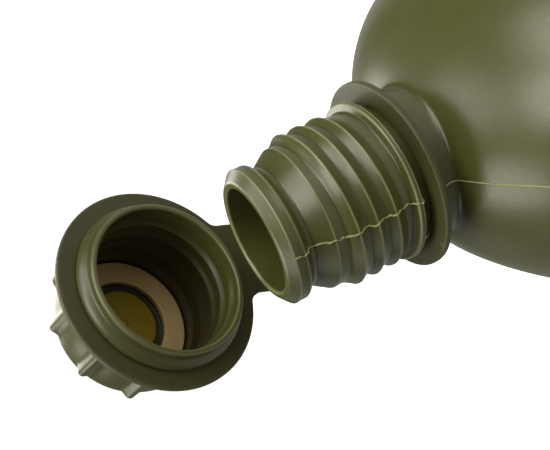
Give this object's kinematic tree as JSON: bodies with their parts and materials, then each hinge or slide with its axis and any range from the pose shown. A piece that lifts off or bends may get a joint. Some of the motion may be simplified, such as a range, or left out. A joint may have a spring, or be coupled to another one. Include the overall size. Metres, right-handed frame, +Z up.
{
  "type": "canteen",
  "caption": "Kidney-section moulded canteen with a screw-threaded neck and a ribbed gasketed screw cap held by a ring strap, cap off and folded back.",
  "frame": {"origin": "centre of the flat base, on the neck's axis", "axes": "+Z up along the neck, +X along the bottle's width, +Y out of the full front face; the hollowed back faces -Y"},
  "size_m": [0.1188, 0.0828, 0.242],
  "materials": {
    "bottle_plastic": "olive moulded polyethylene, semi-matte",
    "strap_plastic": "olive flexible moulded plastic, satin",
    "cap_plastic": "olive moulded plastic, satin",
    "gasket_rubber": "soft translucent sealing disc, satin"
  },
  "bodies": {
    "bottle": {"bottle_body": "bottle_plastic", "bottle_neck": "bottle_plastic"},
    "neck_ring": {"strap_neck_ring": "strap_plastic"},
    "web_lower": {"strap_web_lower": "strap_plastic"},
    "web_upper": {"strap_web_upper": "strap_plastic"},
    "cap_ring": {"strap_cap_ring": "strap_plastic"},
    "cap": {"cap": "cap_plastic", "cap_gasket": "gasket_rubber"}
  },
  "joints": [
    {"name": "neck_ring_swivel", "type": "hinge", "parent": "bottle", "child": "neck_ring", "pos_m": [0, 0, 0.164], "axis": [0, 0, 1], "continuous": true},
    {"name": "strap_root_bend", "type": "hinge", "parent": "neck_ring", "child": "web_lower", "pos_m": [-0.01843, -0.01458, 0.164], "axis": [0.6206, -0.7841, 0], "range_deg": [-8, 30]},
    {"name": "strap_mid_bend", "type": "hinge", "parent": "web_lower", "child": "web_upper", "pos_m": [-0.03384, -0.02421, 0.17148], "axis": [0.6206, -0.7841, 0], "range_deg": [-10, 45]},
    {"name": "strap_cap_bend", "type": "hinge", "parent": "web_upper", "child": "cap_ring", "pos_m": [-0.03943, -0.02201, 0.19066], "axis": [0.6206, -0.7841, 0], "range_deg": [-10, 60]},
    {"name": "cap_spin", "type": "hinge", "parent": "cap_ring", "child": "cap", "pos_m": [-0.02964, -0.01426, 0.21505], "axis": [0.698, 0.5524, -0.4557], "continuous": true}
  ]
}
